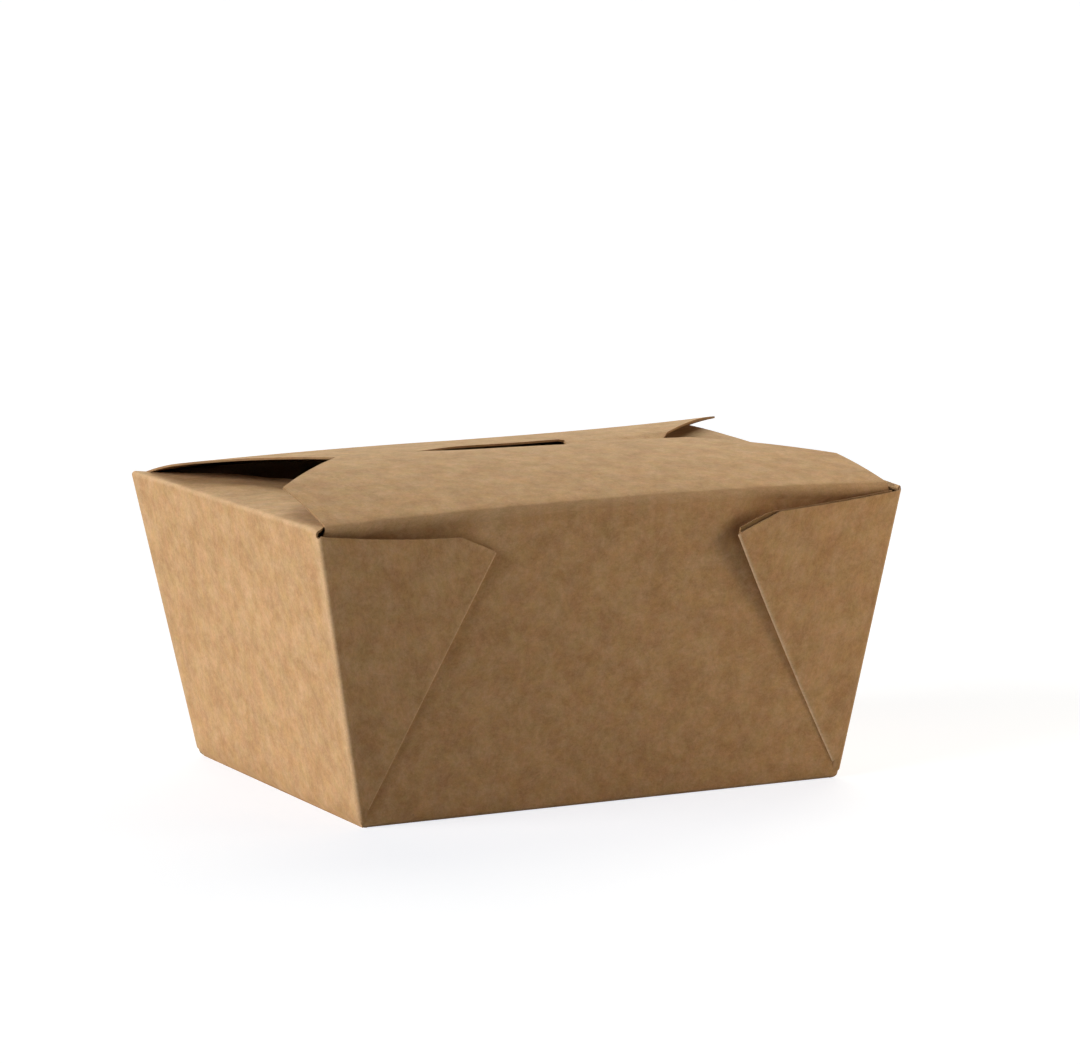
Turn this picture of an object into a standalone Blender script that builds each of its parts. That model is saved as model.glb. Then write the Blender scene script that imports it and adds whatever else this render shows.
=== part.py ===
"""A shut takeaway box folded from one blank of brown kraft board.

Metres, +Z up. The origin is the middle of the base. +X runs along the long side, and the long side at -Y
is the front. The front flap is on top, and its tongue goes down through the slot of the back flap.
"""

import math

import bmesh
import bpy
from mathutils import Vector

MM = 0.001

# Box, in millimetres. The open top leans a little to the back.
BASE_LENGTH = 117.5
BASE_WIDTH = 88.9
TOP_LENGTH = 141.9
TOP_WIDTH = 103.4
TOP_LEAN = 1.44
WALL_HEIGHT = 65.2
BOARD = 0.5
FILL_HEIGHT = 62.0
FOOT_RADIUS = 1.0
FOOT_GAP = 0.08
CORNER_RADIUS = 0.9

# The long walls stand back from the folded corners, which lie on them two plies thick.
RECESS_FOOT = 0.35
RECESS_TOP = 1.05

# Folded corner, as distances from the upright edge of the box and heights. Lift is how far the tip stands off.
GUSSET_TIP = (40.3, 57.7)
GUSSET_SHOULDER = 31.4
LIFT_ALONG = 1.4
LIFT_UP = 1.5
GUSSET_CORNER_HEIGHT = 64.4
GUSSET_SINK = 0.2
GUSSET_LIFTS = {("left", "front"): 0.0, ("right", "front"): 2.6, ("left", "back"): 0.6, ("right", "back"): 1.2}
SHOULDER_HEIGHTS = {("left", "front"): 61.5, ("right", "front"): 62.3, ("left", "back"): 62.0,
                    ("right", "back"): 61.7}

# Long flaps. Crease heights and rises are given at the left side edge, the middle and the right side edge.
FLAP_HALF_LENGTH = 68.0
FLAP_SIDE = 23.8
FRONT_REACH = 48.25
FRONT_CREASE = (64.9, 67.3, 66.0)
FRONT_RISE = (8.6, 6.2, 6.0)
BACK_REACH = 65.0
BACK_ARCH = 52.0
BACK_CREASE = (64.7, 66.6, 65.9)
BACK_RISE = 6.2
BACK_RISE_LEFT = 1.0
BACK_RISE_RIGHT = 3.5
RIGHT_CURL = 2.2
PLY_GAP = 0.15
LIFT_OFF_SLOPE = 0.4
FOLD_REACH = 2.0
FOLD_BULGE = 0.1
CROSSING_BLEND = 0.4

# Tongue and slot. The slot's far lip is lifted by the tongue.
TONGUE_LEFT = -26.5
TONGUE_RIGHT = 12.3
TONGUE_DEPTH = 6.0
TONGUE_BOARD = 0.315
CUTTER_HEIGHT = 6.0
CUTTER_OFFSET = 0.05
SLOT_WIDTH = 2.8
SLOT_END = 0.5
LIP_LIFT = 0.9
LIP_REACH = 12.0

# Short flaps, under the long ones.
LEFT_SHORT_CREASE = 65.6
RIGHT_SHORT_CREASE = 66.3
SHORT_HALF_LENGTH = 47.5
SHORT_REACH = 34.0
SHORT_START = 61.5
SHORT_FOLD_REACH = 2.0
SHORT_EMBED = 0.12
CORNER_DROP = 0.9
LEFT_SHORT_SLOPE = -0.01
RIGHT_SHORT_RISE = 5.2
RIGHT_SHORT_RUN = 14.0
RIGHT_SHORT_PEAK = 30.0
RIGHT_SHORT_SPREAD = 62.0

# Where the sheets have their rows and columns of points.
FOOT_MIDDLE = 0.45
WALL_LEVELS = (20.0, 42.0, 59.0)
FLAP_COLUMNS = 25
FOLD_STEPS = 4
FLAP_RUNS = (6.0, 10.0, 14.5, 19.0, FLAP_SIDE, 29.0, 35.0, 41.0)
FREE_EDGE_RUN = 45.0
FREE_EDGE_ROWS = 3
BACK_EDGE_ROWS = 8
TONGUE_COLUMNS = 7
GUSSET_DISTANCES = (GUSSET_TIP[0], 37.5, 34.5, GUSSET_SHOULDER, 27.0, 22.5, 18.0, 13.5, 9.0, 5.0)
GUSSET_SHARES = (0.0, 0.006, 0.02, 0.22, 0.42, 0.62, 0.8, 0.93, 1.0)
TIP_HEIGHT_LEAST = 0.25
CORNER_STEPS = 5
SHORT_COLUMNS = 9
SHORT_RUNS = (4.0, 6.5, 9.0, 12.0, 16.0, 22.0, 28.0, SHORT_REACH)
TONGUE_PATH = ((-2.0, -0.08), (-0.6, -0.08), (0.2, -0.3), (0.75, -0.9), (1.0, -2.0), (1.2, -TONGUE_DEPTH))

KRAFT = (0.46, 0.30, 0.16)
SHARP_ANGLE = 30.0


def mix(low, high, share):
    return low + (high - low) * share


def spread(low, high, count):
    """Evenly spaced values from low to high, both ends included."""
    return [mix(low, high, index / (count - 1)) for index in range(count)]


def through(values, x):
    """The parabola through three values at the left side edge, the middle and the right side edge."""
    left, middle, right = values
    share = x / FLAP_HALF_LENGTH
    return middle + (right - left) / 2 * share + ((right + left) / 2 - middle) * share * share


def half_length(z):
    return mix(BASE_LENGTH, TOP_LENGTH, z / WALL_HEIGHT) / 2 - foot_inset(z)


def half_width(z, end):
    """How far the outer face of a folded corner stands from the middle. end is -1 at the front, 1 at the back."""
    return mix(BASE_WIDTH / 2, TOP_WIDTH / 2 + end * TOP_LEAN, z / WALL_HEIGHT) - foot_inset(z)


def recess(z):
    return mix(RECESS_FOOT, RECESS_TOP, z / WALL_HEIGHT)


def foot_inset(z):
    """The rounded fold between the walls and the base."""
    if z >= FOOT_RADIUS:
        return 0.0
    return FOOT_RADIUS - math.sqrt(FOOT_RADIUS ** 2 - (FOOT_RADIUS - z) ** 2)


def crease_line(end):
    """Where the top edge of a long wall runs."""
    return end * (TOP_WIDTH / 2 + end * TOP_LEAN)


def free_edge():
    """Where the front flap ends."""
    return crease_line(-1) + FRONT_REACH


def arch(share):
    """A flap's rise from its crease, steep at first and level at its free edge."""
    return 1 - (1 - min(share, 1.0)) ** 2


def ease(low, high, value):
    """A smooth step from 0 at low to 1 at high."""
    share = min(max((value - low) / (high - low), 0.0), 1.0)
    return share * share * (3 - 2 * share)


def soft_least(first, second):
    """The lesser of two heights, rounded where they cross."""
    return (first + second - math.sqrt((first - second) ** 2 + CROSSING_BLEND ** 2)) / 2


def front_height(x, y):
    """Top face of the front flap."""
    share = (y - crease_line(-1)) / FRONT_REACH
    return through(FRONT_CREASE, x) + through(FRONT_RISE, x) * arch(share)


def back_height(x, y):
    """Top face of the back flap, pressed down where the front flap lies on it and lifted behind the slot."""
    side = x / FLAP_HALF_LENGTH
    rise = BACK_RISE - BACK_RISE_LEFT * min(side, 0.0) + BACK_RISE_RIGHT * max(side, 0.0) ** RIGHT_CURL
    free = through(BACK_CREASE, x) + rise * arch((crease_line(1) - y) / BACK_ARCH)
    edge = free_edge()
    press = front_height(x, min(y, edge)) - BOARD - PLY_GAP + LIFT_OFF_SLOPE * max(0.0, y - edge)
    behind = (y - edge - SLOT_WIDTH) / LIP_REACH
    along = ease(TONGUE_LEFT - 6.0, TONGUE_LEFT + 12.0, x) * (1 - ease(TONGUE_RIGHT - 2.0, TONGUE_RIGHT + 4.0, x))
    lip = LIP_LIFT * along * ease(-0.5, 0.0, behind) * (1 - ease(0.0, 1.0, behind))
    return soft_least(free, press) + lip


def flap_half_length(run):
    """Half length of a long flap at a distance from its crease: side edges, then cut corners."""
    return FLAP_HALF_LENGTH - max(0.0, run - FLAP_SIDE)


def curve_points(start, middle, end, count):
    """Points along a quadratic curve, its start left out."""
    points = []
    for index in range(1, count + 1):
        t = index / count
        points.append([(1 - t) ** 2 * a + 2 * t * (1 - t) * b + t * t * c for a, b, c in zip(start, middle, end)])
    return points


def sheet(name, rows, thickness):
    """A closed solid from a grid of points on the outer face; thickness is a number or a grid of numbers."""
    mesh_data = bmesh.new()
    outer = [[mesh_data.verts.new(Vector(point) * MM) for point in row] for row in rows]
    for i in range(len(rows) - 1):
        for j in range(len(rows[0]) - 1):
            mesh_data.faces.new((outer[i][j], outer[i][j + 1], outer[i + 1][j + 1], outer[i + 1][j]))
    mesh_data.normal_update()
    inner = []
    for i, row in enumerate(outer):
        line = []
        for j, vert in enumerate(row):
            depth = thickness[i][j] if isinstance(thickness, list) else thickness
            line.append(mesh_data.verts.new(vert.co - vert.normal * depth * MM))
        inner.append(line)
    for i in range(len(rows) - 1):
        for j in range(len(rows[0]) - 1):
            mesh_data.faces.new((inner[i][j], inner[i + 1][j], inner[i + 1][j + 1], inner[i][j + 1]))
    last_row, last_column = len(rows) - 1, len(rows[0]) - 1
    for j in range(last_column):
        mesh_data.faces.new((outer[0][j + 1], outer[0][j], inner[0][j], inner[0][j + 1]))
        mesh_data.faces.new((outer[last_row][j], outer[last_row][j + 1], inner[last_row][j + 1], inner[last_row][j]))
    for i in range(last_row):
        mesh_data.faces.new((outer[i][0], outer[i + 1][0], inner[i + 1][0], inner[i][0]))
        mesh_data.faces.new((outer[i + 1][last_column], outer[i][last_column],
                             inner[i][last_column], inner[i + 1][last_column]))
    return mesh_object(name, mesh_data)


def mesh_object(name, mesh_data):
    bmesh.ops.triangulate(mesh_data, faces=[face for face in mesh_data.faces if len(face.verts) == 4])
    bmesh.ops.recalc_face_normals(mesh_data, faces=mesh_data.faces[:])
    mesh = bpy.data.meshes.new(name)
    mesh_data.to_mesh(mesh)
    mesh_data.free()
    item = bpy.data.objects.new(name, mesh)
    bpy.context.scene.collection.objects.link(item)
    return item


def filled_body():
    """The closed lower part, which stands half a ply inside the wall sheets, with its flat base."""
    mesh_data = bmesh.new()
    rings = []
    for z in (0.0, FOOT_MIDDLE, FOOT_RADIUS, FILL_HEIGHT):
        a = half_length(z) - BOARD / 2
        front, back = (half_width(z, end) - recess(z) - BOARD / 2 for end in (-1, 1))
        rings.append([mesh_data.verts.new(Vector((x, y, z)) * MM)
                      for x, y in ((-a, -front), (a, -front), (a, back), (-a, back))])
    mesh_data.faces.new(rings[0][::-1])
    mesh_data.faces.new(rings[-1])
    for low, high in zip(rings, rings[1:]):
        for k in range(4):
            mesh_data.faces.new((low[k], low[(k + 1) % 4], high[(k + 1) % 4], high[k]))
    return mesh_object("box", mesh_data)


def long_side(name, end, reach, free_runs, height):
    """A long wall and its flap as one sheet. end is -1 at the front and 1 at the back."""
    columns = spread(-1.0, 1.0, FLAP_COLUMNS)
    crease = crease_line(end)
    rows = []
    for z in (FOOT_GAP, FOOT_MIDDLE, FOOT_RADIUS) + WALL_LEVELS:
        reach_x = half_length(z) - BOARD / 3
        rows.append([(c * reach_x, end * (half_width(z, end) - recess(z)), z) for c in columns])
    starts, bends = [], []
    for c in columns:
        x = c * FLAP_HALF_LENGTH
        top = height(x, crease)
        over = (x, crease - end * FOLD_REACH, height(x, crease - end * FOLD_REACH))
        foot = top - FOLD_REACH
        wide = c * (half_length(foot) - BOARD / 3)
        start = (wide, end * (half_width(foot, end) - recess(foot)), foot)
        corner = (x, end * (half_width(top, end) - recess(top) + FOLD_BULGE), top)
        starts.append(start)
        bends.append(curve_points(start, corner, over, FOLD_STEPS))
    rows.append(starts)
    for index in range(FOLD_STEPS):
        rows.append([tuple(bend[index]) for bend in bends])
    for run in list(FLAP_RUNS) + spread(FREE_EDGE_RUN, reach, free_runs):
        y = crease - end * run
        rows.append([(c * flap_half_length(run), y, height(c * flap_half_length(run), y)) for c in columns])
    if end > 0:
        rows = [row[::-1] for row in rows]
    return sheet(name, rows, BOARD)


def gusset_top(distance, shoulder_height):
    """Height of a folded corner's cut top edge at a distance from the upright edge."""
    tip, tip_height = GUSSET_TIP
    if distance <= GUSSET_SHOULDER:
        return mix(GUSSET_CORNER_HEIGHT, shoulder_height, distance / GUSSET_SHOULDER)
    return mix(shoulder_height, tip_height, (distance - GUSSET_SHOULDER) / (tip - GUSSET_SHOULDER))


def short_side(name, side):
    """A short wall with the folded corners that run on from both its ends. side is -1 at the left."""
    tip, tip_height = GUSSET_TIP
    side_name = "left" if side < 0 else "right"
    crease = LEFT_SHORT_CREASE if side < 0 else RIGHT_SHORT_CREASE
    columns, depths = [], []
    for end, end_name in ((-1, "front"), (1, "back")):
        lift_most = GUSSET_LIFTS[(side_name, end_name)]
        shoulder_height = SHOULDER_HEIGHTS[(side_name, end_name)]
        part, part_depths = [], []
        for distance in GUSSET_DISTANCES:
            low = max(FOOT_GAP, distance / tip * tip_height)
            high = max(gusset_top(distance, shoulder_height), low + TIP_HEIGHT_LEAST)
            column, depth = [], []
            for share in GUSSET_SHARES:
                z = mix(low, high, share)
                lift = lift_most * (distance / tip) ** LIFT_ALONG * (z / tip_height) ** LIFT_UP
                column.append((side * (half_length(z) - distance), end * (half_width(z, end) + lift), z))
                depth.append(recess(z) + GUSSET_SINK if lift_most == 0 else 2 * BOARD)
            part.append(column)
            part_depths.append(depth)
        for angle in spread(0.0, math.pi / 2, CORNER_STEPS):
            column, depth = [], []
            high = mix(GUSSET_CORNER_HEIGHT, crease - CORNER_DROP, angle / (math.pi / 2))
            for share in GUSSET_SHARES:
                z = mix(FOOT_GAP, high, share)
                x = half_length(z) - CORNER_RADIUS * (1 - math.sin(angle))
                y = half_width(z, end) - CORNER_RADIUS * (1 - math.cos(angle))
                column.append((side * x, end * y, z))
                depth.append(mix(2 * BOARD, BOARD, angle / (math.pi / 2)))
            part.append(column)
            part_depths.append(depth)
        if end > 0:
            part.reverse()
            part_depths.reverse()
        columns += part
        depths += part_depths
    if side > 0:
        columns.reverse()
        depths.reverse()
    return sheet(name, columns, depths)


def short_height(side, run, y):
    """Top face of a short flap at a distance from its crease, kept under the long flaps."""
    if side < 0:
        return LEFT_SHORT_CREASE + LEFT_SHORT_SLOPE * run
    most = RIGHT_SHORT_RISE * (1 - ((y - RIGHT_SHORT_PEAK) / RIGHT_SHORT_SPREAD) ** 2)
    x = TOP_LENGTH / 2 - run
    ceiling = min(front_height(x, min(y, free_edge())), back_height(x, y)) - BOARD - PLY_GAP
    return soft_least(RIGHT_SHORT_CREASE + max(most, 0.0) * arch(run / RIGHT_SHORT_RUN), ceiling)


def short_flap(name, side):
    """A short flap, folded in from the top of a short wall, with slanted ends."""
    columns = spread(-1.0, 1.0, SHORT_COLUMNS)
    crease = LEFT_SHORT_CREASE if side < 0 else RIGHT_SHORT_CREASE
    edge = TOP_LENGTH / 2 - SHORT_EMBED
    rows = []
    for z in (SHORT_START, crease - SHORT_FOLD_REACH):
        rows.append([(side * (half_length(z) - SHORT_EMBED), TOP_LEAN + c * SHORT_HALF_LENGTH, z) for c in columns])
    bends = []
    for c, start in zip(columns, rows[-1]):
        y = TOP_LEAN + c * SHORT_HALF_LENGTH
        end_y = TOP_LEAN + c * (SHORT_HALF_LENGTH - SHORT_FOLD_REACH)
        corner = (side * edge, y, crease)
        end = (side * (edge - SHORT_FOLD_REACH), end_y, short_height(side, SHORT_FOLD_REACH, end_y))
        bends.append(curve_points(start, corner, end, 3))
    for index in range(3):
        rows.append([tuple(bend[index]) for bend in bends])
    for run in SHORT_RUNS:
        line = []
        for c in columns:
            y = TOP_LEAN + c * (SHORT_HALF_LENGTH - run)
            line.append((side * (edge - run), y, short_height(side, run, y)))
        rows.append(line)
    if side < 0:
        rows = [row[::-1] for row in rows]
    return sheet(name, rows, BOARD)


def tongue():
    """The front flap's tongue, bent down through the slot."""
    edge = free_edge()
    columns = spread(TONGUE_LEFT, TONGUE_RIGHT, TONGUE_COLUMNS)
    rows = [[(x, edge + y, front_height(x, min(edge, edge + y)) + z) for x in columns] for y, z in TONGUE_PATH]
    return sheet("tongue", rows, TONGUE_BOARD)


def slot_cutter():
    """The slot's opening, as a block through the back flap."""
    mesh_data = bmesh.new()
    bmesh.ops.create_cube(mesh_data, size=1.0)
    size = Vector((TONGUE_RIGHT - TONGUE_LEFT + 2 * SLOT_END, SLOT_WIDTH, CUTTER_HEIGHT)) * MM
    middle_x = (TONGUE_RIGHT + TONGUE_LEFT) / 2
    middle = Vector((middle_x, free_edge() + SLOT_WIDTH / 2 + CUTTER_OFFSET, front_height(0, free_edge()))) * MM
    for vert in mesh_data.verts:
        vert.co = Vector((vert.co.x * size.x, vert.co.y * size.y, vert.co.z * size.z)) + middle
    return mesh_object("slot_cutter", mesh_data)


def settle(item):
    """Replaces an object's mesh by the one its modifiers make."""
    evaluated = item.evaluated_get(bpy.context.evaluated_depsgraph_get())
    mesh = bpy.data.meshes.new_from_object(evaluated)
    item.modifiers.clear()
    item.data = mesh


def cut(item, cutter):
    boolean = item.modifiers.new("slot", "BOOLEAN")
    boolean.operation = "DIFFERENCE"
    boolean.solver = "EXACT"
    boolean.object = cutter
    settle(item)
    bpy.data.objects.remove(cutter)


def join_all(body, plies):
    """One Boolean union of the body and its plies."""
    group = bpy.data.collections.new("plies")
    for ply in plies:
        bpy.context.scene.collection.objects.unlink(ply)
        group.objects.link(ply)
    bpy.context.scene.collection.children.link(group)
    boolean = body.modifiers.new("folded", "BOOLEAN")
    boolean.operation = "UNION"
    boolean.operand_type = "COLLECTION"
    boolean.collection = group
    boolean.solver = "EXACT"
    settle(body)
    for ply in plies:
        bpy.data.objects.remove(ply)
    bpy.data.collections.remove(group)


def kraft_board():
    material = bpy.data.materials.new("kraft_board")
    material.use_nodes = True
    shader = material.node_tree.nodes["Principled BSDF"]
    shader.inputs["Base Color"].default_value = (*KRAFT, 1.0)
    shader.inputs["Roughness"].default_value = 0.8
    shader.inputs["Metallic"].default_value = 0.0
    return material


def main():
    for item in list(bpy.data.objects):
        bpy.data.objects.remove(item)
    box = filled_body()
    back = long_side("back_sheet", 1, BACK_REACH, BACK_EDGE_ROWS, back_height)
    cut(back, slot_cutter())
    plies = [
        back,
        long_side("front_sheet", -1, FRONT_REACH, FREE_EDGE_ROWS, front_height),
        tongue(),
        short_side("left_wall", -1),
        short_side("right_wall", 1),
        short_flap("left_flap", -1),
        short_flap("right_flap", 1),
    ]
    join_all(box, plies)
    box.data.materials.clear()
    box.data.materials.append(kraft_board())
    box.data.shade_smooth()
    box.data.set_sharp_from_angle(angle=math.radians(SHARP_ANGLE))


main()
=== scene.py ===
"""Looks of the shut kraft takeaway box: folded board sheets, kraft materials, floor, lights and camera."""

import math

import bmesh
import bpy
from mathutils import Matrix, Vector

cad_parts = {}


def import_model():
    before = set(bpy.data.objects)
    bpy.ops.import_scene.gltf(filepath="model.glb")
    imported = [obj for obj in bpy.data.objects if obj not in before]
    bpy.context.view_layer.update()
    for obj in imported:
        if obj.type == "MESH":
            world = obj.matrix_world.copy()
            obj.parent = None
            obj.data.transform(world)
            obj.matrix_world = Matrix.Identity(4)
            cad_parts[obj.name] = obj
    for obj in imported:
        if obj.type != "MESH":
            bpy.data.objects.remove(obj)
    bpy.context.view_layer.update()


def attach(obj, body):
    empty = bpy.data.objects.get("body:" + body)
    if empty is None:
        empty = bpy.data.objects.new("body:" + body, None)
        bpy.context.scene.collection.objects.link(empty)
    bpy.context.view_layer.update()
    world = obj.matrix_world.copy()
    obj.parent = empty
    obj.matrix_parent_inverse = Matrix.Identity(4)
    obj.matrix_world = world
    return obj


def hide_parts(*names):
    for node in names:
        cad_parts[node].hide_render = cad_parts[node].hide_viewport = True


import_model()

MM = 0.001

# Box, in millimetres, as in the CAD solid. The open top leans a little to the back.
BASE_LENGTH = 117.5
BASE_WIDTH = 88.9
TOP_LENGTH = 141.9
TOP_WIDTH = 103.4
TOP_LEAN = 1.44
WALL_HEIGHT = 65.2
BOARD = 0.45
FOOT_RADIUS = 1.0
CORNER_RADIUS = 0.9
RECESS_FOOT = 0.35
RECESS_TOP = 1.05
LONG_WALL_GAP = 0.5
WALL_HOLLOW = 0.15
BASE_OVERLAP = 0.05
SHARP_ANGLE = 38.0
BOW_SLOW = 0.10
BOW_FAST = 0.05

# Folded corners.
GUSSET_TIPS = {("left", "front"): (40.8, 57.7), ("right", "front"): (41.6, 58.0),
               ("left", "back"): (40.3, 57.7), ("right", "back"): (40.3, 57.7)}
GUSSET_SHOULDERS = {("left", "front"): 32.9, ("right", "front"): 31.4,
                    ("left", "back"): 31.4, ("right", "back"): 31.4}
GUSSET_SAGS = {("left", "front"): 0.5, ("right", "front"): 0.25,
               ("left", "back"): 0.25, ("right", "back"): 0.25}
CORNER_NOTCHES = {("left", "front"): 0.35, ("right", "front"): 0.0,
                  ("left", "back"): 0.2, ("right", "back"): 0.2}
CORNER_HEIGHTS = {("left", "front"): 63.9, ("right", "front"): 64.7,
                  ("left", "back"): 65.2, ("right", "back"): 65.2}
GUSSET_PLIES = 0.98
GUSSET_EDGE_SLOPE = 0.455
GUSSET_TIP_GAP = 0.25
LIFT_ALONG = 1.4
LIFT_UP = 1.5
INNER_PLY_SPREAD = 0.12
INNER_PLY_START = (15.0, 33.0)
GUSSET_LIFTS = {("left", "front"): 0.0, ("right", "front"): 2.6,
                ("left", "back"): 0.6, ("right", "back"): 1.2}
SHOULDER_HEIGHTS = {("left", "front"): 61.5, ("right", "front"): 62.3,
                    ("left", "back"): 62.0, ("right", "back"): 61.7}
INNER_PLY_STEPS = {("left", "front"): -0.3, ("right", "front"): 0.0,
                   ("left", "back"): 0.2, ("right", "back"): 0.2}
INNER_PLY_SHIFTS = {("left", "front"): 0.0, ("right", "front"): 2.7,
                    ("left", "back"): 0.3, ("right", "back"): 0.8}

# Long flaps.
FLAP_HALF_LENGTH = 68.0
FLAP_SIDE = 23.8
FRONT_REACH = 48.25
FRONT_CREASE = (64.9, 67.3, 66.0)
FRONT_RISE = (8.6, 6.2, 6.0)
BACK_REACH = 65.0
BACK_ARCH = 52.0
BACK_CREASE = (64.7, 66.6, 65.9)
BACK_RISE = 6.2
BACK_RISE_LEFT = 1.0
BACK_RISE_RIGHT = 3.47
RIGHT_CURL = 2.2
PLY_GAP = 0.06
LIFT_OFF_SLOPE = 0.6
CROSSING_BLEND = 0.25

# Rolls of the long walls into their flaps, at the middle and at the side edges.
ROLL_WALL = (2.0, 4.2)
ROLL_FLAP = (1.4, 2.6)
ROLL_GROWTH = 1.5
ROLL_CORNER = 0.1
PULL = 2.3
PULL_ALONG = (0.35, 0.62)
PULL_UP = (50.0, 60.5)

# Tongue and slot.
TONGUE_LEFT = -26.5
TONGUE_RIGHT = 12.3
TONGUE_DEPTH = 6.0
TONGUE_PATH = ((0.0, 0.0), (0.35, -0.06), (0.65, -0.26), (0.85, -0.6), (0.95, -1.1), (1.1, -3.0),
               (1.2, -TONGUE_DEPTH))
TONGUE_WEARS = (0.0, 0.3, 0.4, 0.3, 0.1, 0.0, 0.0)
TONGUE_DIP = 0.45
DIP_REACH = 4.0
SLOT_NEAR = -1.95
SLOT_FAR = 0.9
SLOT_END = 0.4
LIP_LIFT = 0.8
LIP_REACH = 12.0
LOCK_START = 5.0
LOCK_END = 1.1
LOCK_WEAK = 0.35
LOCK_GROWTH = 14.0

# Short flaps, under the long ones.
LEFT_SHORT_CREASE = 65.45
RIGHT_SHORT_CREASE = 66.3
SHORT_REACH = 34.0
SHORT_FOLD = 0.9
SHORT_FOLD_BELOW = 0.3
SHORT_FOLD_INSET = 0.1
SHORT_DIP = 0.45
SHORT_DIP_REACH = 4.0
SHORT_DIP_RUNS = (4.0, 12.0)
LEFT_SHORT_SLOPE = -0.01
LEFT_SHORT_ARCH = 0.8
LEFT_SHORT_ARCH_RUN = 24.0
LEFT_SHORT_ARCH_GROWTH = (4.0, 24.0)
RIGHT_SHORT_RISE = 5.2
RIGHT_SHORT_RUN = 14.0
RIGHT_SHORT_PEAK = 30.0
RIGHT_SHORT_SPREAD = 62.0

# Where the sheets have their rows and columns of points.
LONG_COLUMNS = 69
LONG_WALL_ROWS = 20
LONG_FOLD_STEPS = 9
LONG_RUNS = [4.0, 7.0, 10.5, 14.0, 17.5, 20.8, FLAP_SIDE, 27.0, 31.0, 35.0, 39.0]
FRONT_EDGE_RUNS = [42.0, 44.2, 45.4, 46.4, 47.3]
BACK_EDGE_RUNS = [42.5, 45.0, 47.0, 48.7, 50.2, 51.3]
BACK_HIDDEN_RUNS = [58.5, 61.5]
FOOT_SHARES = (0.0, 0.03, 0.13, 0.3, 0.6)
SHORT_SHARES = [0.0, 0.03, 0.1, 0.2, 0.3, 0.4, 0.5, 0.6, 0.7, 0.78, 0.86, 0.92, 0.97, 1.0]
SHORT_COLUMNS = 34
SHORT_FOLD_STEPS = 7
SHORT_RUNS = (3.0, 4.5, 6.5, 9.0, 12.0, 15.0, 19.0, 24.0, 29.0, SHORT_REACH)
GUSSET_MAIN = (29.0, 2.2, 14)
GUSSET_END_SHARES = (0.12, 0.27, 0.45, 0.65, 0.83)
GUSSET_TURN_STEPS = 7
INNER_PLY_ROWS = 5
CORNER_STEPS = 7

# How much paler the folds are: rubbed fibres, and on the folds along the slanted corner edges also a painted
# highlight.
FOOT_WEAR = 0.3
CORNER_WEAR = 0.3
LONG_FOLD_WEAR = 0.35
SHORT_FOLD_WEAR = 0.4
GUSSET_TURN_WEAR_AND_HIGHLIGHT = [0.25, 0.7, 1.0, 1.0, 0.7, 0.2, 0.0]


def mix(low, high, share):
    return low + (high - low) * share


def spread(low, high, count):
    return [mix(low, high, index / (count - 1)) for index in range(count)]


def through(values, x):
    left, middle, right = values
    share = x / FLAP_HALF_LENGTH
    return middle + (right - left) / 2 * share + ((right + left) / 2 - middle) * share * share


def ease(low, high, value):
    share = min(max((value - low) / (high - low), 0.0), 1.0)
    return share * share * (3 - 2 * share)


def arch(share):
    return 1 - (1 - min(share, 1.0)) ** 2


def soft_least(first, second):
    return (first + second - math.sqrt((first - second) ** 2 + CROSSING_BLEND ** 2)) / 2


def foot_inset(z):
    if z >= FOOT_RADIUS:
        return 0.0
    return FOOT_RADIUS - math.sqrt(max(FOOT_RADIUS ** 2 - (FOOT_RADIUS - z) ** 2, 0.0))


def half_length(z):
    return mix(BASE_LENGTH, TOP_LENGTH, z / WALL_HEIGHT) / 2 - foot_inset(z)


def half_width(z, end):
    return mix(BASE_WIDTH / 2, TOP_WIDTH / 2 + end * TOP_LEAN, z / WALL_HEIGHT) - foot_inset(z)


def recess(z):
    return mix(RECESS_FOOT, RECESS_TOP, z / WALL_HEIGHT)


def crease_line(end):
    return end * (TOP_WIDTH / 2 + end * TOP_LEAN)


FREE_EDGE = crease_line(-1) + FRONT_REACH


def lock_pull(x, margin):
    """How strongly the lock works along the slot: weakly at its left end, fully from a third of its length."""
    end = TONGUE_RIGHT + margin
    along = ease(TONGUE_LEFT - LOCK_START, TONGUE_LEFT, x) * (1 - ease(end, end + LOCK_END, x))
    return along * mix(LOCK_WEAK, 1.0, ease(TONGUE_LEFT, TONGUE_LEFT + LOCK_GROWTH, x))


def front_height(x, y):
    share = (y - crease_line(-1)) / FRONT_REACH
    dip = TONGUE_DIP * lock_pull(x, 0.0) * ease(FREE_EDGE - DIP_REACH, FREE_EDGE, y)
    return through(FRONT_CREASE, x) + through(FRONT_RISE, x) * arch(share) - dip


def back_height(x, y):
    side = x / FLAP_HALF_LENGTH
    rise = BACK_RISE - BACK_RISE_LEFT * min(side, 0.0) + BACK_RISE_RIGHT * max(side, 0.0) ** RIGHT_CURL
    free = through(BACK_CREASE, x) + rise * arch((crease_line(1) - y) / BACK_ARCH)
    under = (min(y, FREE_EDGE) - crease_line(-1)) / FRONT_REACH
    cover = through(FRONT_CREASE, x) + through(FRONT_RISE, x) * arch(under)
    press = cover - BOARD - PLY_GAP + LIFT_OFF_SLOPE * max(0.0, y - FREE_EDGE)
    behind = (y - SLOT_FAR) / LIP_REACH
    lip = LIP_LIFT * lock_pull(x, SLOT_END) * ease(-0.2, 0.0, behind) * (1 - ease(0.0, 1.0, behind))
    return soft_least(free, press) + lip


def flap_half_length(run):
    return FLAP_HALF_LENGTH - max(0.0, run - FLAP_SIDE)


def curve_points(start, middle, end, count):
    """Points along a quadratic curve, its start left out."""
    points = []
    for index in range(1, count + 1):
        t = index / count
        corners = zip(start, middle, end)
        points.append(tuple((1 - t) ** 2 * a + 2 * t * (1 - t) * b + t * t * c for a, b, c in corners))
    return points


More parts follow.
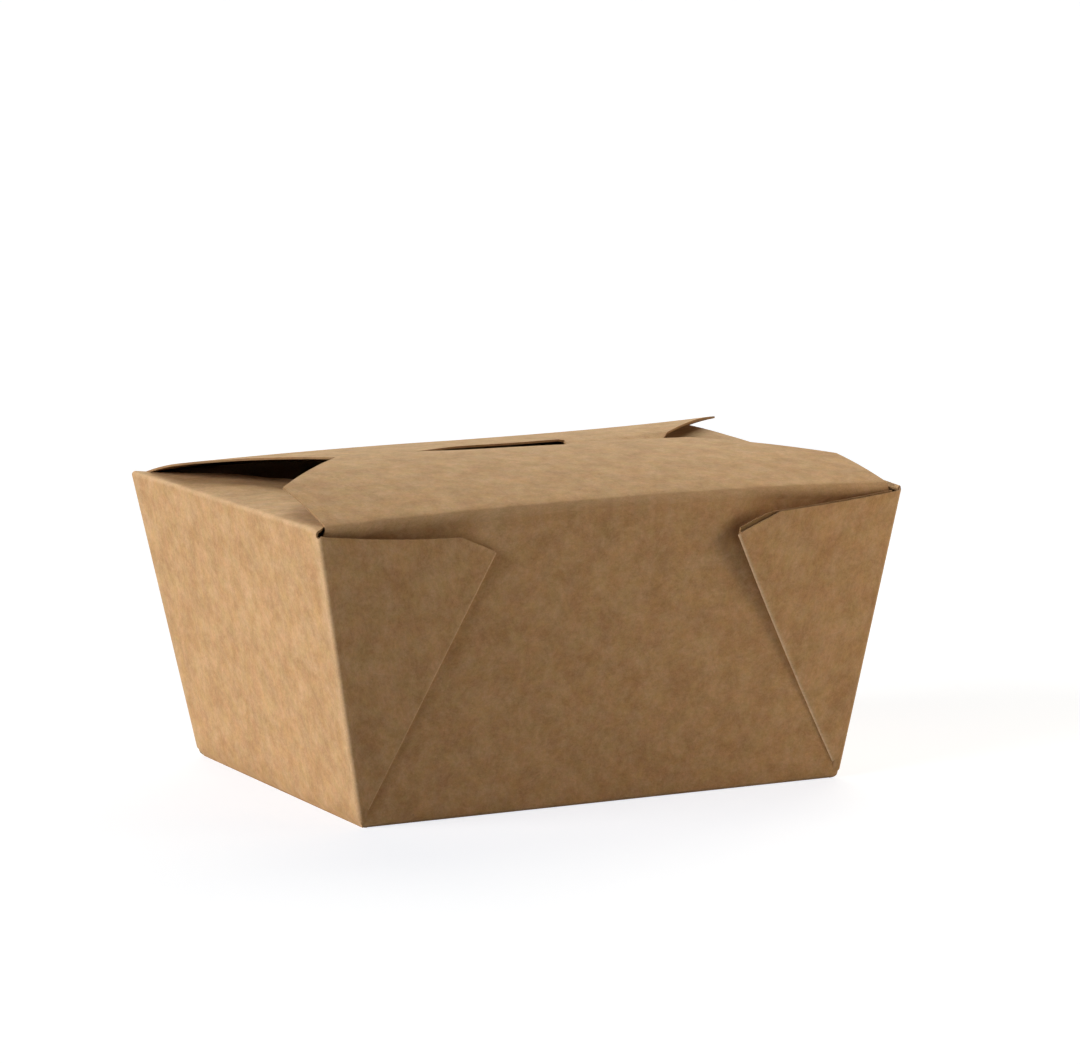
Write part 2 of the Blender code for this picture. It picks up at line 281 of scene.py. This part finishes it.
class Board:
    """A sheet of board, put together from grids of outer-face points that share edges."""

    def __init__(self):
        self.mesh = bmesh.new()
        self.flat = self.mesh.loops.layers.uv.new("blank")
        self.wear_and_highlight = self.mesh.verts.layers.float.new("wear_and_highlight")
        self.verts = {}

    def vert(self, point, wear_and_highlight):
        key = tuple(round(value * 2000) for value in point)
        found = self.verts.get(key)
        if found is None:
            found = self.mesh.verts.new(Vector(point) * MM)
            self.verts[key] = found
        found[self.wear_and_highlight] = max(found[self.wear_and_highlight], wear_and_highlight)
        return found

    def grid(self, rows, places, wears=None, skip=None):
        """rows are lists of points, places their places on the flat blank, wears one value a row."""
        wears = wears or [0.0] * len(rows)
        for i in range(len(rows) - 1):
            for j in range(len(rows[i]) - 1):
                if skip and skip(i, j):
                    continue
                corners = ((i, j), (i, j + 1), (i + 1, j + 1), (i + 1, j))
                around, where = [], []
                for a, b in corners:
                    vert = self.vert(rows[a][b], wears[a])
                    if vert not in around:
                        around.append(vert)
                        where.append(places[a][b])
                if len(around) < 3:
                    continue
                try:
                    face = self.mesh.faces.new(around)
                except ValueError:
                    continue
                for loop, place in zip(face.loops, where):
                    loop[self.flat].uv = place

    def finish(self, name, outward, thickness=BOARD):
        """outward is a point that sees the outer face of the face nearest to it."""
        bmesh.ops.recalc_face_normals(self.mesh, faces=self.mesh.faces[:])
        target = Vector(outward) * MM
        nearest = min(self.mesh.faces, key=lambda face: (face.calc_center_median() - target).length)
        if nearest.normal.dot(target - nearest.calc_center_median()) < 0:
            bmesh.ops.reverse_faces(self.mesh, faces=self.mesh.faces[:])
        mesh = bpy.data.meshes.new(name)
        self.mesh.to_mesh(mesh)
        self.mesh.free()
        item = bpy.data.objects.new(name, mesh)
        bpy.context.scene.collection.objects.link(item)
        for material in (KRAFT, KRAFT_INSIDE_PAINTED_SHADE, KRAFT_EDGE_PAINTED_SHADE):
            mesh.materials.append(material)
        solid = item.modifiers.new("board", "SOLIDIFY")
        solid.thickness = thickness * MM
        solid.offset = -1.0
        solid.use_even_offset = True
        solid.use_quality_normals = True
        # Inner faces take the darker inside kraft, which is painted shade.
        solid.material_offset = 1
        # Cut edges take the darker edge kraft, which is painted shade.
        solid.material_offset_rim = 2
        evaluated = item.evaluated_get(bpy.context.evaluated_depsgraph_get())
        thick = bpy.data.meshes.new_from_object(evaluated)
        item.modifiers.clear()
        item.data = thick
        bpy.data.meshes.remove(mesh)
        thick.name = name
        thick.shade_smooth()
        thick.set_sharp_from_angle(angle=math.radians(SHARP_ANGLE))
        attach(item, "root")
        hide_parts("box")
        return item


def bow(across, up):
    """Slight waviness of the board, in millimetres."""
    slow = BOW_SLOW * math.sin(across * 0.061 + 0.7) * math.sin(up * 0.083 + 0.4)
    return slow + BOW_FAST * math.sin(across * 0.13 + up * 0.1)


def long_side(name, end):
    """A long wall with its flap as one sheet. end is -1 at the front and 1 at the back."""
    height, reach = (front_height, FRONT_REACH) if end < 0 else (back_height, BACK_REACH)
    crease = crease_line(end)
    if end < 0:
        marks = [TONGUE_LEFT / flap_half_length(FRONT_REACH), TONGUE_RIGHT / flap_half_length(FRONT_REACH)]
        runs = LONG_RUNS + FRONT_EDGE_RUNS + [reach]
    else:
        slot_run = crease - (SLOT_NEAR + SLOT_FAR) / 2
        half = flap_half_length(slot_run)
        marks = [(TONGUE_LEFT - SLOT_END) / half, (TONGUE_RIGHT + SLOT_END) / half]
        slot_runs = [crease - SLOT_FAR, crease - SLOT_NEAR]
        runs = LONG_RUNS + BACK_EDGE_RUNS + slot_runs + BACK_HIDDEN_RUNS + [reach]
    step = 2.0 / (LONG_COLUMNS - 1)
    columns = [c for c in spread(-1.0, 1.0, LONG_COLUMNS) if min(abs(c - mark) for mark in marks) > 0.4 * step]
    columns += marks
    columns += [marks[1] + step * share for share in (0.12, 0.3)] if end > 0 else []
    columns.sort()

    def wall_point(c, z):
        x = c * (half_length(z) - LONG_WALL_GAP)
        side = abs(x) / FLAP_HALF_LENGTH
        pull = PULL * ease(*PULL_ALONG, side) * ease(*PULL_UP, z)
        wave = bow(x, z) * ease(1.0, 12.0, z) * (1 - ease(0.5, 0.8, side))
        return (x, end * (half_width(z, end) - recess(z) - pull + wave), z)

    rows, places, wears = [], [], []
    for share in FOOT_SHARES:
        z = FOOT_RADIUS * share
        rows.append([wall_point(c, z) for c in columns])
        places.append([(c * 58, z) for c in columns])
        wears.append(FOOT_WEAR)
    starts = [through(FRONT_CREASE if end < 0 else BACK_CREASE, c * FLAP_HALF_LENGTH)
              - mix(*ROLL_WALL, abs(c) ** ROLL_GROWTH) for c in columns]
    for share in spread(0.0, 1.0, LONG_WALL_ROWS):
        row, place = [], []
        for c, top in zip(columns, starts):
            z = mix(FOOT_RADIUS, top, share)
            row.append(wall_point(c, z))
            place.append((row[-1][0], z))
        rows.append(row)
        places.append(place)
        wears.append(0.0)
    bends = []
    for c, top, start in zip(columns, starts, rows[-1]):
        x = c * FLAP_HALF_LENGTH
        run = mix(*ROLL_FLAP, abs(c) ** ROLL_GROWTH)
        over = (x, crease - end * run, height(x, crease - end * run))
        corner_z = height(x, crease)
        corner = (x, end * (half_width(corner_z, end) - recess(corner_z) + ROLL_CORNER), corner_z)
        bends.append(curve_points(start, corner, over, LONG_FOLD_STEPS))
    for index in range(LONG_FOLD_STEPS):
        rows.append([bend[index] for bend in bends])
        places.append([(c * FLAP_HALF_LENGTH, WALL_HEIGHT - 2 + index * 0.5) for c in columns])
        wears.append(LONG_FOLD_WEAR * math.sin(math.pi * (index + 1) / (LONG_FOLD_STEPS + 1)))
    for run in runs:
        y = crease - end * run
        reach_x = flap_half_length(run)
        rows.append([(c * reach_x, y, height(c * reach_x, y)) for c in columns])
        places.append([(c * reach_x, WALL_HEIGHT + run) for c in columns])
        wears.append(0.0)
    sheet = Board()
    if end < 0:
        sheet.grid(rows, places, wears)
        first, last = columns.index(marks[0]), columns.index(marks[1])
        tip = rows[-1][first:last + 1]
        tongue = [[(x, y + out, z + down) for x, y, z in tip] for out, down in TONGUE_PATH]
        tongue_places = [[(x, WALL_HEIGHT + reach - down) for x, y, z in tip] for out, down in TONGUE_PATH]
        sheet.grid(tongue, tongue_places, TONGUE_WEARS)
        return sheet.finish(name, (0, crease - 30, 30))
    hole_row = len(rows) - len(runs) + runs.index(slot_runs[0])
    first, last = columns.index(marks[0]), columns.index(marks[1])
    sheet.grid(rows, places, wears, skip=lambda i, j: i == hole_row and first <= j < last)
    return sheet.finish(name, (0, crease + 30, 30))


def gusset_top(key, distance):
    tip, tip_height = GUSSET_TIPS[key]
    corner_height, shoulder_height = CORNER_HEIGHTS[key], SHOULDER_HEIGHTS[key]
    shoulder = GUSSET_SHOULDERS[key]
    if distance <= shoulder:
        sag = GUSSET_SAGS[key] * math.sin(math.pi * distance / shoulder)
        return mix(corner_height, shoulder_height, distance / shoulder) - sag
    return mix(shoulder_height, tip_height, (distance - shoulder) / (tip - shoulder))


def short_height(side, run, y):
    corner = crease_line(-1) + CORNER_RADIUS
    dip = SHORT_DIP * (1 - ease(corner, corner + SHORT_DIP_REACH, y)) * (1 - ease(*SHORT_DIP_RUNS, run))
    if side < 0:
        swell = math.sin(math.pi * min(run / LEFT_SHORT_ARCH_RUN, 1.0)) * ease(*LEFT_SHORT_ARCH_GROWTH, crease_line(1) - y)
        return LEFT_SHORT_CREASE + LEFT_SHORT_SLOPE * run + LEFT_SHORT_ARCH * swell - dip
    most = RIGHT_SHORT_RISE * (1 - ((y - RIGHT_SHORT_PEAK) / RIGHT_SHORT_SPREAD) ** 2)
    x = TOP_LENGTH / 2 - run
    ceiling = min(front_height(x, min(y, FREE_EDGE)), back_height(x, y)) - BOARD - PLY_GAP
    return soft_least(RIGHT_SHORT_CREASE + max(most, 0.0) * arch(run / RIGHT_SHORT_RUN), ceiling)


def short_side(name, side):
    """A short wall with its folded corners and its flap as one sheet. side is -1 at the left."""
    side_name = "left" if side < 0 else "right"
    crease = LEFT_SHORT_CREASE if side < 0 else RIGHT_SHORT_CREASE
    plies = GUSSET_PLIES
    shares = SHORT_SHARES
    fold_rise = plies / 2 / GUSSET_EDGE_SLOPE
    z_top = crease - SHORT_FOLD - SHORT_FOLD_BELOW
    sheet = Board()
    columns, places = [], []

    def gusset_point(key, distance, z, end):
        tip, tip_height = GUSSET_TIPS[key]
        lift = GUSSET_LIFTS[key] * (distance / tip) ** LIFT_ALONG * (max(z, 0.0) / tip_height) ** LIFT_UP
        return Vector((side * (half_length(z) - distance), end * (half_width(z, end) + lift), z))

    gussets = []
    for end, end_name in ((-1, "front"), (1, "back")):
        key = (side_name, end_name)
        tip, tip_height = GUSSET_TIPS[key]
        slope = tip_height / tip
        shoulder = GUSSET_SHOULDERS[key]
        chamfer = (SHOULDER_HEIGHTS[key] - tip_height) / (tip - shoulder)
        last = (SHOULDER_HEIGHTS[key] + chamfer * shoulder - fold_rise - GUSSET_TIP_GAP) / (slope + chamfer)
        distances = [last] + [mix(last, shoulder, share) for share in GUSSET_END_SHARES] + [shoulder]
        distances += spread(*GUSSET_MAIN)
        part, part_places, lows = [], [], []
        for distance in distances:
            low = distance * slope + fold_rise
            high = gusset_top(key, distance)
            column = [gusset_point(key, distance, mix(low, high, share), end) for share in shares]
            part.append([tuple(point) for point in column])
            part_places.append([(point.z, end * (50 + distance)) for point in column])
            lows.append(column[0])
        gussets.append((end, key, distances, lows))
        dip = SHORT_DIP if side < 0 and end < 0 else 0.0
        for angle in spread(0.0, math.pi / 2, CORNER_STEPS):
            turn = angle / (math.pi / 2)
            notch = CORNER_NOTCHES[key] * math.sin(math.pi * turn)
            high = mix(CORNER_HEIGHTS[key], z_top - dip, turn * turn) - notch
            column = []
            for share in shares:
                z = mix(0.0, high, share)
                x = half_length(z) - CORNER_RADIUS * (1 - math.sin(angle))
                y = half_width(z, end) - CORNER_RADIUS * (1 - math.cos(angle))
                column.append((side * x, end * y, z))
            part.append(column)
            part_places.append([(point[2], end * (50 - turn * 1.4)) for point in column])
        if end > 0:
            part.reverse()
            part_places.reverse()
        columns.append(part)
        places.append(part_places)
    front_part, back_part = columns
    wall, wall_places = [], []
    for across in spread(0.0, 1.0, SHORT_COLUMNS):
        column = []
        corner_y = mix(crease_line(-1) + CORNER_RADIUS, crease_line(1) - CORNER_RADIUS, across)
        wall_top = short_height(side, 0.0, corner_y) - (crease - z_top) if side < 0 else z_top
        for share in shares:
            z = mix(0.0, wall_top, share)
            y = mix(-(half_width(z, -1) - CORNER_RADIUS), half_width(z, 1) - CORNER_RADIUS, across)
            middle_share = math.sin(math.pi * across)
            bulge = bow(y, z) * ease(1.0, 12.0, z) * middle_share - WALL_HOLLOW * middle_share
            column.append((side * (half_length(z) + min(bulge, 0.0)), y, z))
        wall.append(column)
        wall_places.append([(point[2], point[1]) for point in column])
    whole = front_part + wall + back_part
    whole_places = places[0] + wall_places + places[1]
    rows = [[column[i] for column in whole] for i in range(len(shares))]
    row_places = [[column[i] for column in whole_places] for i in range(len(shares))]
    sheet.grid(rows, row_places)
    front_edge = whole[len(front_part) - CORNER_STEPS + 1:len(front_part)]
    back_edge = whole[-len(back_part):-len(back_part) + CORNER_STEPS - 1]
    for column in front_edge + back_edge:
        for point in column:
            sheet.vert(point, CORNER_WEAR)

    # The fold along each slanted edge, and the second ply behind.
    for end, key, distances, lows in gussets:
        lift_most = GUSSET_LIFTS[key]
        out = Vector((0, end, 0))
        turns = [[] for _ in range(GUSSET_TURN_STEPS)]
        inner = [[] for _ in range(INNER_PLY_ROWS)]
        for index, (distance, low_point) in enumerate(zip(distances, lows)):
            before = lows[max(index - 1, 0)]
            after = lows[min(index + 1, len(lows) - 1)]
            along = (after - before).normalized()
            away = along.cross(out).normalized()
            if away.z > 0:
                away = -away
            radius = plies / 2
            centre = low_point - out * radius
            for k, angle in enumerate(spread(0.0, math.pi, GUSSET_TURN_STEPS)):
                point = centre + (out * math.cos(angle) + away * math.sin(angle)) * radius
                turns[k].append(low_point if k == 0 else point)
            low = low_point.z
            step = INNER_PLY_STEPS[key] * ease(*INNER_PLY_START, distance)
            high = gusset_top(key, distance - INNER_PLY_SHIFTS[key]) + step
            for k, share in enumerate(spread(0.0, 1.0, INNER_PLY_ROWS)):
                z = mix(low, high, share)
                back_off = plies + INNER_PLY_SPREAD * lift_most * share
                behind = gusset_point(key, distance, z, end) - out * back_off
                inner[k].append(turns[-1][index] if k == 0 else behind)
        turn_rows = [[tuple(point) for point in row] for row in turns]
        inner_rows = [[tuple(point) for point in row] for row in inner]
        turn_places = [[(point[2], end * (50 + distance)) for point, distance in zip(row, distances)]
                       for row in turn_rows]
        inner_places = [[(point[2] + 5, end * (90 + distance)) for point, distance in zip(row, distances)]
                        for row in inner_rows]
        # The fold rows are painted paler: rubbed fibres plus a painted highlight.
        sheet.grid(turn_rows, turn_places, GUSSET_TURN_WEAR_AND_HIGHLIGHT)
        sheet.grid(inner_rows, inner_places)

    # The fold at the top of the wall, and the flap with its slanted ends.
    top_row = [column[-1] for column in wall]
    flap_rows = [top_row]
    bends = []
    for x, y, z in top_row:
        corner = (side * (TOP_LENGTH / 2 - SHORT_FOLD_INSET), y, short_height(side, 0.0, y) if side < 0 else crease)
        run = SHORT_FOLD
        over = (side * (TOP_LENGTH / 2 - run), y, short_height(side, run, y))
        bends.append(curve_points((x, y, z), corner, over, SHORT_FOLD_STEPS))
    for index in range(SHORT_FOLD_STEPS):
        flap_rows.append([bend[index] for bend in bends])
    middle = (top_row[0][1] + top_row[-1][1]) / 2
    half = abs(top_row[-1][1] - top_row[0][1]) / 2
    for run in SHORT_RUNS:
        narrow = (half - max(0.0, run - SHORT_FOLD)) / half
        row = []
        for x, y, z in top_row:
            y = middle + (y - middle) * narrow
            row.append((side * (TOP_LENGTH / 2 - run), y, short_height(side, run, y)))
        flap_rows.append(row)
    flap_places, flap_wears = [], []
    for index, row in enumerate(flap_rows):
        if index <= SHORT_FOLD_STEPS:
            flap_places.append([(z_top + index * 0.4, point[1]) for point in row])
            turn = index / (SHORT_FOLD_STEPS + 1)
            flap_wears.append(SHORT_FOLD_WEAR * math.sin(math.pi * turn))
        else:
            flap_places.append([(z_top + 3 + TOP_LENGTH / 2 - abs(point[0]), point[1]) for point in row])
            flap_wears.append(0.0)
    sheet.grid(flap_rows, flap_places, flap_wears)
    return sheet.finish(name, (side * 100, 0, 30))


def base(name):
    sheet = Board()
    a = half_length(0.0) + BASE_OVERLAP
    front, back = (half_width(0.0, end) - recess(0.0) + BASE_OVERLAP for end in (-1, 1))
    xs = spread(-a, a, 13)
    rows = [[(x, y, 0.0) for x in xs] for y in spread(-front, back, 11)]
    sheet.grid(rows, [[(x, y) for x, y, z in row] for row in rows])
    return sheet.finish(name, (0, 0, -30))


# Materials. Places on the flat blank are in millimetres, so fibres run the same way over folds.

CLOUD_STRENGTH = 0.35
GRAIN_STRENGTH = 3.1
FIBRE_STRENGTH = 0.45
TOOTH_STRENGTH = 0.9
TONE_SHIFT = -1.9
TINTS = ((0.16, 80.0, (1.0, 0.905, 0.855)), (0.23, 47.0, (0.945, 0.965, 0.82)))
SPECK_COLOUR = (0.13, 0.06, 0.025)
HAIR_COLOUR = (0.78, 0.56, 0.34)
RUBBED_AND_HIGHLIGHT_COLOUR = (0.86, 0.67, 0.46)
SPECULAR = 0.33
BUMP_STRENGTH = 0.45
BUMP_DISTANCE = 0.00005


def kraft_material(name, light, dark, rough, specks=True):
    """Uncoated kraft: soft clouds, mottle, fibres along the blank, fine tooth, a few specks and pale hairs."""
    material = bpy.data.materials.new(name)
    material.use_nodes = True
    nodes, links = material.node_tree.nodes, material.node_tree.links
    shader = nodes["Principled BSDF"]
    place = nodes.new("ShaderNodeUVMap")
    place.uv_map = "blank"

    def noise(scale, detail, stretch=(1.0, 1.0, 1.0), roughness=0.5, distortion=0.0, shift=(0.0, 0.0, 0.0)):
        mapping = nodes.new("ShaderNodeMapping")
        mapping.inputs["Scale"].default_value = stretch
        mapping.inputs["Location"].default_value = shift
        links.new(place.outputs["UV"], mapping.inputs["Vector"])
        texture = nodes.new("ShaderNodeTexNoise")
        texture.inputs["Scale"].default_value = scale
        texture.inputs["Detail"].default_value = detail
        texture.inputs["Roughness"].default_value = roughness
        texture.inputs["Distortion"].default_value = distortion
        links.new(mapping.outputs["Vector"], texture.inputs["Vector"])
        return texture.outputs["Fac"]

    def math_node(operation, first, second=None, third=None, clamp=False):
        node = nodes.new("ShaderNodeMath")
        node.operation = operation
        node.use_clamp = clamp
        for socket, value in zip(node.inputs, (first, second, third)):
            if value is None:
                continue
            if isinstance(value, (int, float)):
                socket.default_value = value
            else:
                links.new(value, socket)
        return node.outputs[0]

    def blend(mode, share, first, second):
        node = nodes.new("ShaderNodeMix")
        node.data_type = "RGBA"
        node.blend_type = mode
        for socket, value in ((node.inputs[0], share), (node.inputs[6], first), (node.inputs[7], second)):
            if isinstance(value, (int, float)):
                socket.default_value = value
            elif isinstance(value, tuple):
                socket.default_value = (*value, 1.0)
            else:
                links.new(value, socket)
        return node.outputs[2]

    cloud = noise(0.035, 2.0)
    grain = noise(0.14, 6.0, roughness=0.9, distortion=0.2)
    fibre = noise(1.3, 2.0, stretch=(0.6, 1.3, 1.0), roughness=0.6, distortion=0.7, shift=(17.0, 4.0, 0.0))
    tooth = noise(2.3, 2.0, roughness=0.8, shift=(5.0, 90.0, 0.0))
    share = math_node("MULTIPLY_ADD", cloud, CLOUD_STRENGTH, 0.0)
    share = math_node("MULTIPLY_ADD", grain, GRAIN_STRENGTH, share)
    share = math_node("MULTIPLY_ADD", fibre, FIBRE_STRENGTH, share)
    share = math_node("MULTIPLY_ADD", tooth, TOOTH_STRENGTH, share)
    share = math_node("ADD", share, TONE_SHIFT, clamp=True)
    colour = blend("MIX", share, dark, light)
    for scale, shift, tint in TINTS:
        patch = noise(scale, 5.0, roughness=0.85, shift=(shift, shift / 2, 0.0))
        patch = math_node("MULTIPLY_ADD", patch, 5.0, -2.0, clamp=True)
        colour = blend("MULTIPLY", patch, colour, tint)
    if specks:
        cells = nodes.new("ShaderNodeTexVoronoi")
        cells.inputs["Scale"].default_value = 0.13
        links.new(place.outputs["UV"], cells.inputs["Vector"])
        pick = nodes.new("ShaderNodeSeparateColor")
        links.new(cells.outputs["Color"], pick.inputs["Color"])
        size = math_node("MULTIPLY_ADD", pick.outputs["Red"], 0.075, -0.034)
        dot = math_node("SUBTRACT", size, cells.outputs["Distance"])
        dot = math_node("MULTIPLY", dot, 70.0, clamp=True)
        strength = math_node("MULTIPLY", dot, math_node("MULTIPLY_ADD", pick.outputs["Green"], 0.6, 0.1))
        colour = blend("MIX", strength, colour, SPECK_COLOUR)
        line = noise(0.42, 1.0, distortion=1.4, shift=(13.0, 55.0, 0.0))
        hair = math_node("ABSOLUTE", math_node("SUBTRACT", line, 0.5))
        hair = math_node("MULTIPLY_ADD", hair, -260.0, 1.0, clamp=True)
        where = math_node("MULTIPLY_ADD", noise(0.21, 1.0, shift=(70.0, 3.0, 0.0)), 9.0, -5.4, clamp=True)
        hair = math_node("MULTIPLY", math_node("MULTIPLY", hair, where), 0.32)
        colour = blend("MIX", hair, colour, HAIR_COLOUR)
    # Paler colour along the folds: rubbed fibres, and on the slanted corner folds also a painted highlight.
    wear_and_highlight = nodes.new("ShaderNodeAttribute")
    wear_and_highlight.attribute_name = "wear_and_highlight"
    patchy = math_node("MULTIPLY_ADD", tooth, 0.8, 0.15)
    rubbed_and_highlight = math_node("MULTIPLY", wear_and_highlight.outputs["Fac"], patchy, clamp=True)
    colour = blend("MIX", math_node("MULTIPLY", rubbed_and_highlight, 0.85), colour, RUBBED_AND_HIGHLIGHT_COLOUR)
    links.new(colour, shader.inputs["Base Color"])
    roughness = math_node("MULTIPLY_ADD", tooth, 0.16, rough - 0.08)
    links.new(roughness, shader.inputs["Roughness"])
    shader.inputs["Metallic"].default_value = 0.0
    shader.inputs["Specular IOR Level"].default_value = SPECULAR
    relief = math_node("MULTIPLY_ADD", fibre, 0.6, math_node("MULTIPLY", tooth, 0.6))
    relief = math_node("MULTIPLY_ADD", grain, 1.6, relief)
    bump = nodes.new("ShaderNodeBump")
    bump.inputs["Strength"].default_value = BUMP_STRENGTH
    bump.inputs["Distance"].default_value = BUMP_DISTANCE
    links.new(relief, bump.inputs["Height"])
    links.new(bump.outputs["Normal"], shader.inputs["Normal"])
    return material


KRAFT = kraft_material("kraft", (0.706, 0.461, 0.266), (0.480, 0.286, 0.150), 0.78)
# The inside of the board is the same kraft; its darker colour here is painted shade for the dim inside of the shut
# box.
KRAFT_INSIDE_PAINTED_SHADE = kraft_material("kraft_inside_painted_shade", (0.38, 0.235, 0.12), (0.27, 0.16, 0.08), 0.85, specks=False)
# Cut edges are darker than the board faces: painted shade, so the lit edges read dull.
KRAFT_EDGE_PAINTED_SHADE = kraft_material("kraft_edge_painted_shade", (0.43, 0.265, 0.145), (0.31, 0.185, 0.097), 0.9, specks=False)

base("base")
long_side("front", -1)
long_side("back", 1)
short_side("left", -1)
short_side("right", 1)


# Floor, lights and camera. The pale ground glows for the eye only, so the box keeps its soft shading.

FLOOR_TONE = (0.44, 0.46)
FLOOR_GLOW = 0.76
FLOOR_REACH = 20.0
CAMERA_PLACE = (-0.434481, -0.8603042, 0.1973266)
CAMERA_YAW = 0.4737
CAMERA_PITCH = -0.1481
CAMERA_LENS = 144.823


def seen_strength(nodes, links, strength):
    path = nodes.new("ShaderNodeLightPath")
    scale = nodes.new("ShaderNodeMath")
    scale.operation = "MULTIPLY"
    scale.inputs[1].default_value = strength
    links.new(path.outputs["Is Camera Ray"], scale.inputs[0])
    return scale.outputs[0]


def floor():
    mesh = bpy.data.meshes.new("floor")
    a = FLOOR_REACH
    mesh.from_pydata([(-a, -a, 0), (a, -a, 0), (a, a, 0), (-a, a, 0)], [], [(0, 1, 2, 3)])
    item = bpy.data.objects.new("floor", mesh)
    bpy.context.scene.collection.objects.link(item)
    material = bpy.data.materials.new("pale_floor")
    material.use_nodes = True
    nodes, links = material.node_tree.nodes, material.node_tree.links
    shader = nodes["Principled BSDF"]
    place = nodes.new("ShaderNodeTexCoord")
    texture = nodes.new("ShaderNodeTexNoise")
    texture.inputs["Scale"].default_value = 6.0
    links.new(place.outputs["Object"], texture.inputs["Vector"])
    ramp = nodes.new("ShaderNodeMapRange")
    ramp.inputs["To Min"].default_value = FLOOR_TONE[0]
    ramp.inputs["To Max"].default_value = FLOOR_TONE[1]
    links.new(texture.outputs["Fac"], ramp.inputs["Value"])
    tone = nodes.new("ShaderNodeCombineColor")
    for channel in ("Red", "Green", "Blue"):
        links.new(ramp.outputs["Result"], tone.inputs[channel])
    links.new(tone.outputs["Color"], shader.inputs["Base Color"])
    shader.inputs["Roughness"].default_value = 0.9
    shader.inputs["Specular IOR Level"].default_value = 0.0
    shader.inputs["Emission Color"].default_value = (0.93, 0.95, 1.0, 1.0)
    links.new(seen_strength(nodes, links, FLOOR_GLOW), shader.inputs["Emission Strength"])
    mesh.materials.append(material)


def area_light(name, place, target, size, power, colour):
    data = bpy.data.lights.new(name, "AREA")
    data.shape = "RECTANGLE"
    data.size, data.size_y = size
    data.energy = power
    data.color = colour
    item = bpy.data.objects.new(name, data)
    bpy.context.scene.collection.objects.link(item)
    item.location = place
    item.rotation_euler = (Vector(target) - Vector(place)).to_track_quat("-Z", "Y").to_euler()
    item.visible_camera = False


def far_light(name, azimuth, elevation, softness, power, colour):
    """A light far off. Azimuth 0 is the front, 90 the right; softness is how wide it looks, in degrees."""
    data = bpy.data.lights.new(name, "SUN")
    data.angle = math.radians(softness)
    data.energy = power
    data.color = colour
    item = bpy.data.objects.new(name, data)
    bpy.context.scene.collection.objects.link(item)
    turn, lift = math.radians(azimuth), math.radians(elevation)
    source = Vector((math.sin(turn) * math.cos(lift), -math.cos(turn) * math.cos(lift), math.sin(lift)))
    item.location = source * 2
    item.rotation_euler = source.to_track_quat("Z", "Y").to_euler()


def world(strength, colour):
    item = bpy.data.worlds.new("studio")
    bpy.context.scene.world = item
    item.use_nodes = True
    nodes, links = item.node_tree.nodes, item.node_tree.links
    background = nodes["Background"]
    background.inputs["Color"].default_value = (*colour, 1.0)
    links.new(seen_strength(nodes, links, strength), background.inputs["Strength"])


def camera():
    data = bpy.data.cameras.new("camera")
    item = bpy.data.objects.new("camera", data)
    bpy.context.scene.collection.objects.link(item)
    level = math.cos(CAMERA_PITCH)
    forward = Vector((math.sin(CAMERA_YAW) * level, math.cos(CAMERA_YAW) * level, math.sin(CAMERA_PITCH)))
    item.location = CAMERA_PLACE
    item.rotation_euler = forward.to_track_quat("-Z", "Y").to_euler()
    data.sensor_width = 36.0
    data.lens = CAMERA_LENS
    data.clip_start = 0.01
    data.clip_end = 100.0
    bpy.context.scene.camera = item


floor()
far_light("key", -90, 17, 45, 3.38, (1.0, 0.985, 0.95))
far_light("rim", 150, 35, 60, 2.1, (1.0, 0.97, 0.80))
area_light("fill", (0.30, -0.20, 0.12), (0.05, -0.05, 0.03), (0.15, 0.2), 0.47, (1.0, 0.83, 0.62))
world(1.0, (1.0, 1.0, 1.0))
camera()
bpy.context.scene.view_settings.view_transform = "Standard"
